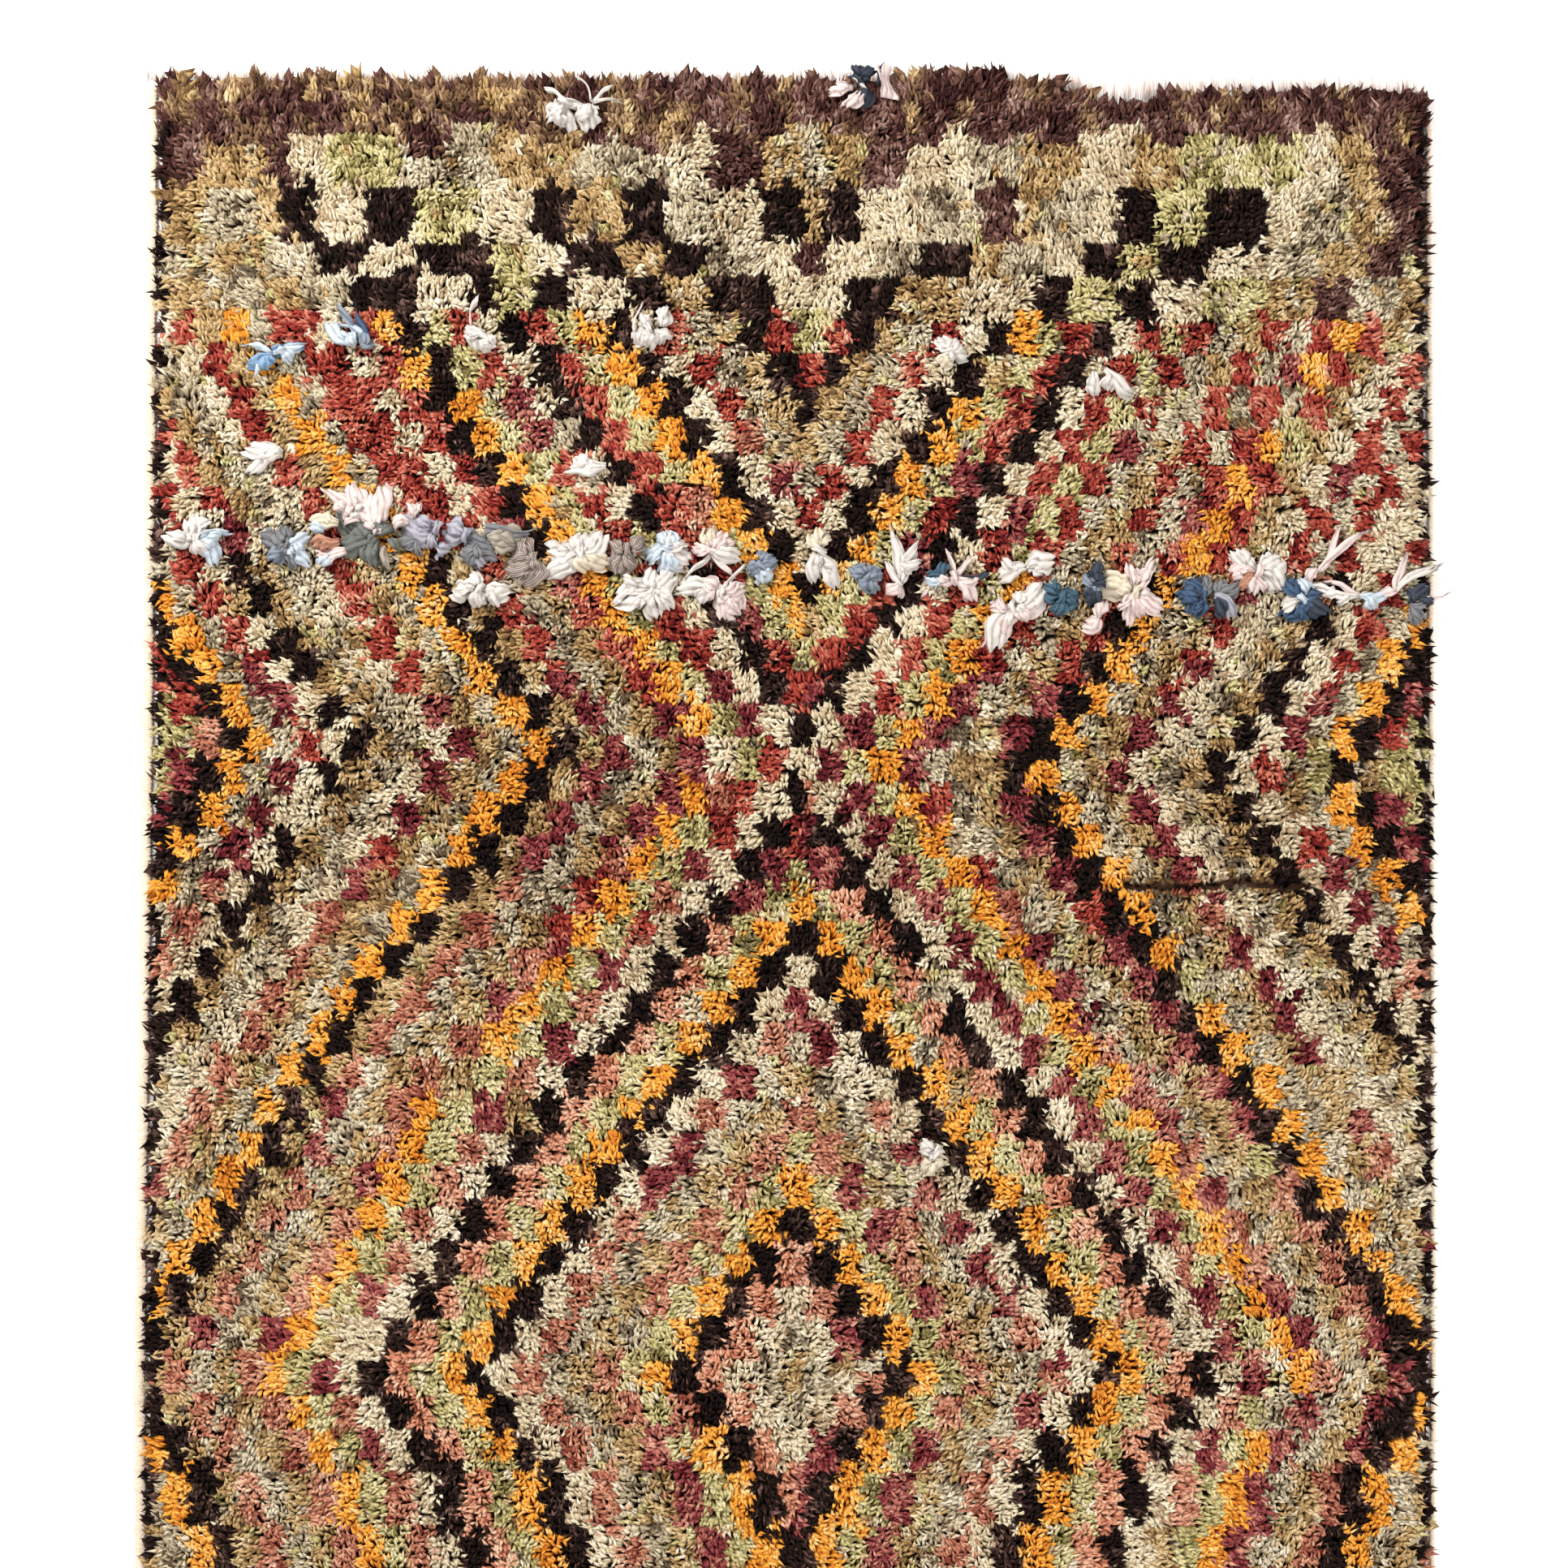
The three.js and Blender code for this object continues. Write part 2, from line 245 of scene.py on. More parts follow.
def check_colours(x, y, draw):
    """Yarn and lot of each knot, and the way from its check's middle to the knot, in checks."""
    row, column, across = place_in_design(x, y)
    left = across < 0
    row = row + 0.10 * swell(x, y, 0.035, 0.09, 3) + draw.normal(0, 0.04, len(x))
    row_number = np.rint(row).astype(int)
    own_row = row_number + np.where(y < 0, LOWER_ROWS, 0)
    sway = np.random.default_rng(5).uniform(-0.13, 0.13, 200)
    column = column + sway[own_row] + draw.normal(0, 0.05, len(x))
    column_number = np.rint(np.abs(column)).astype(int)
    yarn = charted_yarn(row, column, row_number, column_number, left)
    handful = draw.random(len(x))
    lots = np.random.default_rng(17).random((200, HALF_COLUMNS))
    lot = lots[own_row, np.clip(column_number, 0, HALF_COLUMNS - 1)]
    lot = np.where(left, lot, 1 - lot)
    yarn = dyed_yarn(yarn, lot, row, np.abs(y), left)
    border = row > BORDER_FROM + 0.35 * swell(x, y, 0.05, 0.16, 23)
    yarn = np.where(border, border_yarn(x, y, draw), yarn)
    # The pale yarns are mixed now and then, knot by knot.
    mixed = (draw.random(len(x)) < 0.16) & ~border
    mixed &= np.isin(yarn, yarn_numbers(("tan", "grey", "sage")))
    pale = yarn_numbers(("tan", "grey", "cream", "sage"))
    yarn = np.where(mixed, pale[(handful * len(pale)).astype(int)], yarn)
    way_x = (column - column_number) * np.where(left, -1, 1)
    way_y = (row - row_number) * np.where(y > 0, 1, -1)
    return yarn, way_x, way_y, lot


# ---- Knots and locks of the pile ----

KNOT_ACROSS = 8.25 * MM
KNOT_ALONG = 10.05 * MM
LOCKS_ACROSS = 3  # cut ends of one knot, in two rows
LOCKS_ALONG = 2
LOCKS = LOCKS_ACROSS * LOCKS_ALONG
GROUND_TOP = 3.0 * MM
PILE_TOP = 21.0 * MM
RIM_TOP = 13.0 * MM  # its height at the rug's edge, where it is lower for this far
RIM = 14 * MM

# A lock's place from its middle: its root behind, its belly and its cut end ahead.
ROOT_BACK = 11.0 * MM
BELLY_AHEAD = 0.2 * MM
TIP_AHEAD = 5.8 * MM
LOCK_SIZES = (0.65, 1.40)
CREAM_SIZE = 1.10  # the cream yarn is thicker
LOCK_HALF_WIDTHS = (1.4, 2.2)  # in millimetres
BELLY_SHARE = 0.8  # of that width, at the belly
BELLY_HIGHEST = 1.2 * MM  # below the top of the pile
BELLY_SPREAD = 3.8 * MM

# One lock of each knot, low and broad, is the matted wool that shows between the others.
BED_LOCK = 4
BED_HALF_WIDTH = 6.5 * MM
BED_BELLY = 4.4 * MM
BED_TIP = 5.0 * MM

# Shortest and longest swirls that the pile lies in, and eddies in them.
SWIRL = (0.16, 0.34)
EDDY = (0.05, 0.09)

# Painted shade: the pile's tone is lowered in a band across the rug and a little at the top end.
# The pile is also worn back along the top end.
PAINTED_SHADE_ALONG = {
    "y": (-0.2, 0.1, 0.28, 0.40, 0.56, 0.70, 0.85, 1.05, 1.15),
    "tone": (0.02, 0.04, 0.05, -0.11, -0.11, 0.0, 0.02, -0.02, -0.05),
}
TOP_CUT = {
    "x": (-0.60, 0.10, 0.20, 0.26, 0.30, 0.36, 0.44, 0.51, 0.60),
    "short": (0.004, 0.004, 0.000, 0.008, 0.021, 0.012, 0.005, -0.001, 0.002),
}

# A short crease across the rug, where the pile parts and shows its dark roots, which carry painted
# shade; the locks beside it get painted shade as well.
CREASE = {"x": (0.312, 0.36, 0.42, 0.484), "y": (0.4485, 0.4470, 0.4500, 0.4490)}
CREASE_REACH = 9 * MM

# Dark tufts in clumps along each side edge.
TUFTS_WIDE = 12.5 * MM
TUFTS_APART = 34 * MM
TUFTS_END = 1.15


def last_knots(x):
    """How far up the rug its pile goes: the top end is worn back in one place."""
    return end_edge("top", x) - np.interp(x, TOP_CUT["x"], TOP_CUT["short"])


def lay_of_the_pile(x, y, way_x, way_y):
    """The way the pile leans, as two numbers: swirls, outwards at the sides, along at the ends."""
    edge = np.minimum(x - side_edge("left", y), side_edge("right", y) - x)
    ends = np.minimum(end_edge("top", x) - y, y - end_edge("bottom", x))
    out = 0.55 * np.abs(x / 0.6) ** 1.2 + 2.2 * (1 - ease(0.008, 0.045, edge))
    lay_x = np.sign(x) * out + 0.85 * swell(x, y, *SWIRL, 41) + 0.45 * swell(x, y, *EDDY, 42)
    along = 0.9 * ease(0.86, 1.06, np.abs(y)) + 2.6 * (1 - ease(0.02, 0.09, ends))
    lay_y = np.sign(y) * along + 0.80 * swell(x, y, *SWIRL, 43) + 0.45 * swell(x, y, *EDDY, 44)
    # The knots of one check lean away from its middle.
    return lay_x + 0.6 * way_x, lay_y + 0.6 * way_y, edge, ends


def knots():
    """Places of the knots, row on row, a little uneven."""
    draw = np.random.default_rng(61)
    across = np.arange(-0.605, 0.605, KNOT_ACROSS)
    along = np.arange(-1.21, 1.21, KNOT_ALONG)
    x, y = np.meshgrid(across, along)
    x = x + np.where(np.arange(len(along)) % 2, 0.5, 0)[:, None] * KNOT_ACROSS
    x = (x + draw.normal(0, 0.10, x.shape) * KNOT_ACROSS).ravel()
    y = (y + draw.normal(0, 0.10, y.shape) * KNOT_ALONG).ravel()
    inside = (x > side_edge("left", y) + 0.002) & (x < side_edge("right", y) - 0.002)
    inside &= (y < last_knots(x)) & (y > end_edge("bottom", x) + 0.004)
    return x[inside], y[inside]


def tufts_and_lots(y, edge, yarn, lot, draw):
    """The knots' yarn with the dark edge tufts and with a bluer dye lot of red."""
    clump = np.sin(TAU * y / TUFTS_APART + 2.2 * swell(0 * y, y, 0.05, 0.14, 33)) > -0.75
    tuft = (edge < TUFTS_WIDE) & clump & (draw.random(len(y)) < 0.95)
    yarn = np.where(tuft & (np.abs(y) < TUFTS_END), YARN["black"], yarn)
    # Most reds near the crossings come from the bluer lot.
    bluer = ease(0.30, 0.36, np.abs(y)) * ease(0.66, 0.60, np.abs(y))
    return np.where((yarn == YARN["red"]) & (lot < 0.7 * bluer), YARN["wine"], yarn)


def lock_middles(x, y):
    """The middle of each lock, in rows and columns round its knot."""
    number = np.arange(LOCKS)
    apart_x = (number % LOCKS_ACROSS - (LOCKS_ACROSS - 1) / 2) / LOCKS_ACROSS
    apart_y = (number // LOCKS_ACROSS - (LOCKS_ALONG - 1) / 2) / LOCKS_ALONG
    lock_x = np.repeat(x, LOCKS) + np.tile(apart_x, len(x)) * KNOT_ACROSS
    lock_y = np.repeat(y, LOCKS) + np.tile(apart_y, len(x)) * KNOT_ALONG
    return np.stack([lock_x, lock_y], 1)


def parted_at_crease(middle):
    """The locks' middles moved away from the crease, and which of them stand by it."""
    off = middle[:, 1] - np.interp(middle[:, 0], CREASE["x"], CREASE["y"])
    beside = (middle[:, 0] > CREASE["x"][0]) & (middle[:, 0] < CREASE["x"][-1])
    beside &= np.abs(off) < CREASE_REACH
    apart = np.sign(off) * (CREASE_REACH - np.abs(off)) * 0.5
    moved = middle[:, 1] + np.where(beside, apart, 0.0)
    return np.stack([middle[:, 0], moved], 1), beside


def lock_tones(middle, lot, beside, draw):
    """How light each lock is, 0 to 1: its own tone, its knot's, its lot's, and painted shade along
    the rug and beside the crease.
    """
    of_knot = np.repeat(draw.normal(0, 1, len(middle) // LOCKS), LOCKS)
    patch = swell(middle[:, 0], middle[:, 1], 0.03, 0.09, 52)
    tone = 0.44 + 0.13 * draw.normal(0, 1, len(middle)) + 0.14 * of_knot
    tone = tone + 0.22 * (lot - 0.5) + 0.10 * patch
    # Painted shade, darker in a band across the rug and a little at the top end.
    tone = tone + np.interp(middle[:, 1], PAINTED_SHADE_ALONG["y"], PAINTED_SHADE_ALONG["tone"])
    # Painted shade on the locks beside the crease.
    return np.clip(np.where(beside, tone - 0.25, tone), 0, 0.999)


def pile_locks():
    """Root, belly, tip, sideways direction, half width, tone and yarn of every lock."""
    draw = np.random.default_rng(71)
    x, y = knots()
    yarn, way_x, way_y, lot = check_colours(x, y, draw)
    lay_x, lay_y, edge, ends = lay_of_the_pile(x, y, way_x, way_y)
    yarn = tufts_and_lots(y, edge, yarn, lot, draw)
    lay_x, lay_y, edge, ends, yarn, lot = (
        np.repeat(values, LOCKS) for values in (lay_x, lay_y, edge, ends, yarn, lot)
    )
    total = len(yarn)
    # A few cut ends have worked into the next knots.
    astray = draw.random(total)
    yarn = np.where(astray < 0.025, np.roll(yarn, LOCKS), yarn)
    yarn = np.where(astray > 0.975, np.roll(yarn, -LOCKS), yarn)
    heading = np.arctan2(lay_y, lay_x) + draw.normal(0, 0.28, total)
    heading = heading + np.repeat(draw.normal(0, 0.22, len(x)), LOCKS)
    ahead = np.stack([np.cos(heading), np.sin(heading)], 1)
    aside = np.stack([-ahead[:, 1], ahead[:, 0]], 1)
    middle = lock_middles(x, y) + draw.normal(0, 1.0, (total, 2)) * MM + ahead * MM
    middle, beside = parted_at_crease(middle)
    big = np.where(yarn == YARN["cream"], CREAM_SIZE, 1.0)
    size = draw.uniform(*LOCK_SIZES, total) * big
    firmness = np.clip(np.hypot(lay_x, lay_y), 0.35, 1.6)
    lean = np.clip(0.70 + 0.25 * firmness, 0.6, 1.10) + 0.35 * (1 - ease(0.010, 0.050, ends))
    rim = ease(0, RIM, np.minimum(edge, ends)) * np.where(beside, 0.6, 1.0)
    top = RIM_TOP + (PILE_TOP - RIM_TOP) * rim
    top = top * (1 + 0.05 * swell(middle[:, 0], middle[:, 1], 0.03, 0.07, 51))
    belly_z = top - BELLY_HIGHEST - draw.beta(1.3, 2.2, total) * BELLY_SPREAD
    tip_z = np.minimum(belly_z + draw.normal(-0.8, 1.0, total) * MM, top)
    back = ahead * (ROOT_BACK * lean)[:, None]
    root = np.column_stack([middle - back, np.full(total, GROUND_TOP - 0.5 * MM)])
    belly = np.column_stack([middle + ahead * (BELLY_AHEAD * size)[:, None], belly_z])
    bend = draw.normal(0, 0.50, total)[:, None]
    tip_at = TIP_AHEAD * size * lean * np.where(beside, 0.5, 1.0)
    tip_way = ahead * np.cos(bend) + aside * np.sin(bend)
    tip = np.column_stack([middle + tip_way * tip_at[:, None], tip_z])
    half = draw.uniform(*LOCK_HALF_WIDTHS, total) * MM * np.sqrt(big)
    bed = np.tile(np.arange(LOCKS) == BED_LOCK, len(x))
    half = np.where(bed, BED_HALF_WIDTH, half)
    belly[:, 2] = np.where(bed, top - BED_BELLY, belly[:, 2])
    tip[:, 2] = np.where(bed, top - BED_TIP, tip[:, 2])
    return root, belly, tip, aside, half, lock_tones(middle, lot, beside, draw), yarn


# A lock's corners: its root, both sides of its belly and its cut end.
LOCK_CORNERS = np.array([(0, 2, 1), (3, 1, 2), (0, 1, 3), (0, 3, 2)])
TONES = 64  # tones of a yarn, side by side on its colour map
LOCK_SHARE = 0.35  # half the width of a lock, as a share of its tone's strip
# Where each corner lies across its lock and along it; yarn_paint paints shade at the root, the
# sides and the cut end from these.
CORNER_SIDE = np.array([0, 1, -1, 0])
CORNER_ALONG = np.array([0.02, 0.5, 0.5, 0.98])


def joined_locks(name, root, belly, tip, aside, half, tone, material):
    """One mesh of many locks, each a closed wedge of yarn that narrows to its cut end."""
    count = len(root)
    width = np.column_stack([aside, np.zeros(count)]) * half[:, None] * BELLY_SHARE
    points = np.stack([root, belly + width, belly - width, tip], 1)
    corners = (np.arange(count)[:, None, None] * 4 + LOCK_CORNERS).reshape(-1)
    mesh = bpy.data.meshes.new(name)
    mesh.vertices.add(count * 4)
    mesh.vertices.foreach_set("co", points.astype(np.float32).ravel())
    mesh.loops.add(len(corners))
    mesh.loops.foreach_set("vertex_index", corners.astype(np.int32))
    faces = len(corners) // 3
    mesh.polygons.add(faces)
    mesh.polygons.foreach_set("loop_start", np.arange(faces, dtype=np.int32) * 3)
    mesh.polygons.foreach_set("use_smooth", np.ones(faces, dtype=bool))
    mesh.update(calc_edges=True)
    across = (np.floor(tone * TONES)[:, None] + 0.5 + CORNER_SIDE[None, :] * LOCK_SHARE) / TONES
    along = np.broadcast_to(CORNER_ALONG, across.shape)
    places = np.stack([across, along], 2).reshape(-1, 2)[corners]
    mesh.uv_layers.new(name="OFBake").data.foreach_set("uv", places.astype(np.float32).ravel())
    return placed_piece(name, mesh, [material])


def in_scene(name, data):
    """A new object of the scene."""
    made = bpy.data.objects.new(name, data)
    bpy.context.scene.collection.objects.link(made)
    return made


def placed_piece(name, mesh, materials):
    """The mesh as an object of the rug."""
    for material in materials:
        mesh.materials.append(material)
    piece = in_scene(name, mesh)
    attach(piece, "root")
    return piece


def finished_mesh(name, bm):
    mesh = bpy.data.meshes.new(name)
    bm.to_mesh(mesh)
    bm.free()
    return mesh


def finished_piece(name, bm, materials):
    return placed_piece(name, finished_mesh(name, bm), materials)


def standing_for(node, piece):
    """The piece and the node it replaces."""
    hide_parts(node)
    return piece


# ---- Materials ----


class Value:
    """A socket that Python arithmetic works on: each expression adds its Math node."""

    def __init__(self, paint, socket):
        self.paint = paint
        self.socket = socket

    def math(self, operation, first, second=0.0):
        return self.paint.node("ShaderNodeMath", {"operation": operation}, {0: first, 1: second})

    def __add__(self, other):
        return self.math("ADD", self, other)

    __radd__ = __add__

    def __sub__(self, other):
        return self.math("SUBTRACT", self, other)

    def __rsub__(self, other):
        return self.math("SUBTRACT", other, self)

    def __mul__(self, other):
        return self.math("MULTIPLY", self, other)

    __rmul__ = __mul__

    def __truediv__(self, other):
        return self.math("DIVIDE", self, other)

    def cosine(self):
        return self.math("COSINE", self)

    def sine(self):
        return self.math("SINE", self)

    def whole(self):
        return self.math("FLOOR", self)

    def fraction(self):
        return self.math("FRACT", self)

    def below(self, limit):
        return self.math("LESS_THAN", self, limit)


class Paint:
    """One material and the making of its nodes."""

    def __init__(self, name, **fixed):
        self.material = bpy.data.materials.new(name)
        self.material.use_nodes = True
        self.tree = self.material.node_tree
        self.shader = self.tree.nodes["Principled BSDF"]
        for socket, value in fixed.items():
            self.shader.inputs[socket.replace("_", " ")].default_value = value

    def node(self, kind, settings=None, inputs=None, output=0):
        made = self.tree.nodes.new(kind)
        for key, value in (settings or {}).items():
            if key == "stops":
                self.set_stops(made.color_ramp, value)
            else:
                setattr(made, key, value)
        for key, value in (inputs or {}).items():
            if isinstance(value, Value):
                self.tree.links.new(value.socket, made.inputs[key])
            else:
                made.inputs[key].default_value = value
        return Value(self, made.outputs[output])

    @staticmethod
    def set_stops(ramp, stops):
        while len(ramp.elements) < len(stops):
            ramp.elements.new(1.0)
        for element, (at, colour) in zip(ramp.elements, stops):
            element.position = at
            element.color = (*colour, 1)

    def mix(self, share, first, second):
        """Two colours mixed by share, through the Mix node's colour sockets."""
        inputs = {0: share, 6: as_colour(first), 7: as_colour(second)}
        return self.node("ShaderNodeMix", {"data_type": "RGBA"}, inputs, output=2)

    def ramp(self, share, stops):
        return self.node("ShaderNodeValToRGB", {"stops": stops}, {0: share})

    def ease(self, value, low, high):
        """As ease() above, in nodes."""
        inputs = {"Value": value, "From Min": low, "From Max": high}
        return self.node("ShaderNodeMapRange", {"interpolation_type": "SMOOTHSTEP"}, inputs)

    def noise(self, where, scale, detail=2.0, rough=0.5):
        inputs = {"Vector": where, "Scale": scale, "Detail": detail, "Roughness": rough}
        return self.node("ShaderNodeTexNoise", {}, inputs)

    def place_on_piece(self):
        """The piece's own coordinates, the node's fourth output."""
        return self.node("ShaderNodeTexCoord", output=3)

    def map_place(self, name):
        return self.node("ShaderNodeUVMap", {"uv_map": name})

    def first_two(self, place):
        """The first two coordinates of a place."""
        first = self.node("ShaderNodeSeparateXYZ", {}, {0: place})
        return first, Value(self, first.socket.node.outputs[1])

    def set(self, **links):
        for socket, value in links.items():
            self.tree.links.new(value.socket, self.shader.inputs[socket.replace("_", " ")])

    def bump(self, height, strength, distance):
        inputs = {"Height": height, "Strength": strength, "Distance": distance}
        self.set(Normal=self.node("ShaderNodeBump", {}, inputs))


def as_colour(value):
    return value if isinstance(value, Value) else (*value, 1)


def dye(text):
    """Red, green and blue of a dyer's six-letter shade, as light."""
    parts = [int(text[i : i + 2], 16) / 255 for i in (0, 2, 4)]
    return tuple(p / 12.92 if p <= 0.04045 else ((p + 0.055) / 1.055) ** 2.4 for p in parts)


# Each yarn from its darkest strand to its lightest, and last the colour of the painted shade deep
# down between the locks.
YARN_SHADES = {
    "black": ("0e0604", "1c0f0b", "32201b", "7e6056", "070302"),
    "gold": ("c87a28", "eaa03a", "f6b656", "fcd08e", "74380f"),
    "red": ("5a1214", "9c3a30", "be6450", "dea48a", "360a08"),
    "rose": ("823e32", "b4745c", "d2987c", "e6c2a6", "461a12"),
    "wine": ("54161c", "8a3a3e", "b26c60", "d8a088", "300c0e"),
    "salmon": ("a05a42", "cc8a6c", "deaa8c", "eec6aa", "542816"),
    "cream": ("a89070", "d2c2a2", "e2d4b8", "efe3cc", "584330"),
    "sage": ("74683c", "bcb078", "d2c694", "e6dcb4", "40361a"),
    "tan": ("725636", "b09060", "caae7e", "e0caa6", "3e2610"),
    "grey": ("5a4a38", "b2a286", "d0c3a6", "e8ddc6", "2e2216"),
    "purple": ("2e1414", "54342e", "7c5a50", "b49488", "1a0a08"),
    "umber": ("3e281c", "745640", "9c7e5c", "c6ac88", "26140a"),
    "undyed": ("d2b4a6", "e6cec2", "f0ded4", "f8ece6", "8f705e"),
}
SHADE_STOPS = (0.04, 0.35, 0.65, 0.96)
YARN_SHEEN = 0.12
CLOTH_SHEEN = 0.15


def yarn_paint(name):
    """Spun wool: a tone for each lock, with painted shade at its root, its sides and between its
    strands, and darker towards its cut end.
    """
    *shades, deep = (dye(shade) for shade in YARN_SHADES[name])
    paint = Paint(f"{name} wool yarn", Roughness=0.88, Specular_IOR_Level=YARN_SHEEN)
    across, along = paint.first_two(paint.map_place("OFBake"))
    strip = across * TONES
    tone = strip.whole()
    from_ridge = (strip.fraction() - 0.5) / LOCK_SHARE
    # Painted shade on the lock's sides, growing away from its ridge.
    edge = from_ridge * from_ridge
    # Each lock is two or three strands side by side, not quite of a tone, with painted shade in the
    # gaps between them.
    turn = from_ridge * (0.95 * TAU) + along * 3.0 + tone * 2.4
    painted_strand_shade = turn.cosine() * 0.5 + 0.5
    unlike = (turn * 0.37 + tone * 5.1).sine()
    shade = paint.ramp(across + 0.10 * unlike, list(zip(SHADE_STOPS, shades)))
    # Painted shade: darker towards the root deep in the pile; also darker towards the cut end.
    painted_root_shade = paint.ease(along, -0.25, 0.55)
    end = paint.ease(along, 0.74, 1.0)
    # How much of the painted shade colour shows: at the root, the cut end, the sides and between
    # strands.
    body = painted_root_shade * (1.0 - 0.40 * end) * (1.0 - 0.40 * edge * edge) * (0.60 + 0.40 * painted_strand_shade)
    paint.set(Base_Color=paint.mix(0.24 + 0.76 * body, deep, shade))
    return paint.material


WARP_PITCH = 2.0 * MM
WEFT_PITCH = 1.6 * MM


def ground_paint():
    """Brown plain weave: warps up the rug, wefts across them, one over and one under."""
    paint = Paint("ground weave", Roughness=0.95)
    where = paint.place_on_piece()
    across, along = paint.first_two(where)
    warp = (across * (TAU / WARP_PITCH)).cosine()
    weft = (along * (TAU / WEFT_PITCH)).cosine()
    over = warp * weft * 0.5 + 0.5
    thread = paint.mix(paint.noise(where, 55.0), dye("4a2e1e"), dye("7a5640"))
    paint.set(Base_Color=paint.mix(over * 0.6 + 0.4, dye("2c1a10"), thread))
    paint.bump(over, 0.6, 0.5 * MM)
    return paint.material


def cord_paint():
    """Undyed wool wound slantwise, its threads a little fuzzy."""
    paint = Paint("overcast undyed wool", Roughness=0.92, Specular_IOR_Level=CLOTH_SHEEN)
    where = paint.place_on_piece()
    stretched = paint.node("ShaderNodeMapping", {}, {"Vector": where, "Scale": (0.12, 1.0, 1.0)})
    thread = paint.noise(stretched, 1500.0, 3.0, 0.6)
    wool = paint.ramp(thread, [(0.30, dye("b79f86")), (0.5, dye("e3d3bd")), (0.7, dye("f6ecdd"))])
    paint.set(Base_Color=paint.mix(paint.noise(where, 40.0) * 0.35, wool, dye("d8b8a0")))
    paint.bump(thread, 0.5, 0.6 * MM)
    return paint.material


# Each cloth: its painted shade colour in the folds, its body colour and its knitted ribs to a
# centimetre.
CLOTHS = {
    "white": ("968d86", "d3cdc7", 9.0),
    "cream": ("998a72", "d0c5b0", 9.0),
    "pinkish": ("9c8480", "d6c5c0", 9.0),
    "salmon": ("7f5446", "b98770", 9.0),
    "pale_blue": ("808b94", "bcc6cf", 9.0),
    "sky": ("486482", "7f9dba", 9.0),
    "grey": ("3f3f40", "77777a", 3.4),
    "grey_green": ("343633", "6c6f6a", 9.0),
    "lilac": ("6f6c76", "a3a1ab", 9.0),
    "grey_blue": ("454c57", "7f8894", 5.0),
    "slate": ("15181e", "3c424d", 6.0),
    "denim": ("161f2c", "41556f", 8.0),
    "teal": ("18242c", "466070", 7.0),
    "sand": ("6a5f50", "a0988a", 7.0),
    "ticking": ("6a5f58", "b4aca4", 4.0),
}
RIB_CONTRAST = {"grey": 0.40, "grey_blue": 0.30, "slate": 0.30}
PLAIN_RIB_CONTRAST = 0.10
STITCHES = 11.0  # to a centimetre
# The ticking's stripes: how many to a centimetre, then each one's start, width and colour.
STRIPES = 4.4
TICKING_STRIPES = ((0.3, 0.34, "5c4c46"), (0.82, 0.16, "7e5c50"))


def cloth_paint(name):
    """Worn cotton: painted shade darker in its folds, knitted ribs along the strip, stripes on the
    ticking.
    """
    painted_fold_shade, body, ribs = CLOTHS[name]
    paint = Paint(f"{name} rag cloth", Roughness=0.9, Specular_IOR_Level=CLOTH_SHEEN)
    across, along = paint.first_two(paint.map_place("cloth_lay"))
    fold, _ = paint.first_two(paint.map_place("cloth_folds"))
    rib = (across * (TAU * ribs)).cosine() * 0.5 + 0.5
    where = paint.place_on_piece()
    wear = paint.noise(where, 110.0, 3.0, 0.6)
    fuzz = paint.noise(where, 900.0, 2.0, 0.6)
    contrast = RIB_CONTRAST.get(name, PLAIN_RIB_CONTRAST)
    # Painted shade: darker down in the folds, lighter on the ridges, with random wear, fuzz and
    # ribs.
    shade = fold * 0.85 + (wear - 0.5) * 0.9 + (fuzz - 0.5) * 0.3 + (rib - 0.5) * contrast
    colour = paint.ramp(shade, [(0.05, dye(painted_fold_shade)), (0.75, dye(body))])
    if name == "ticking":
        for start, width, stripe in TICKING_STRIPES:
            place = (across * STRIPES + start).fraction()
            colour = paint.mix(place.below(width), colour, dye(stripe))
    paint.set(Base_Color=colour)
    stitch = (along * (TAU * STITCHES)).cosine() * 0.25
    paint.bump(rib * 0.7 + stitch + fuzz * 0.6, 0.5, 0.35 * MM)
    return paint.material


def build_pile():
    """A piece for each colour of yarn, of all its locks."""
    *locks, yarn = pile_locks()
    pieces = []
    for name in YARN_NAMES:
        chosen = yarn == YARN[name]
        piece = joined_locks(f"pile_{name}", *(a[chosen] for a in locks), yarn_paint(name))
        pieces.append(standing_for("pile_rug", piece))
    return pieces


# ---- Rag strips tied into the pile ----

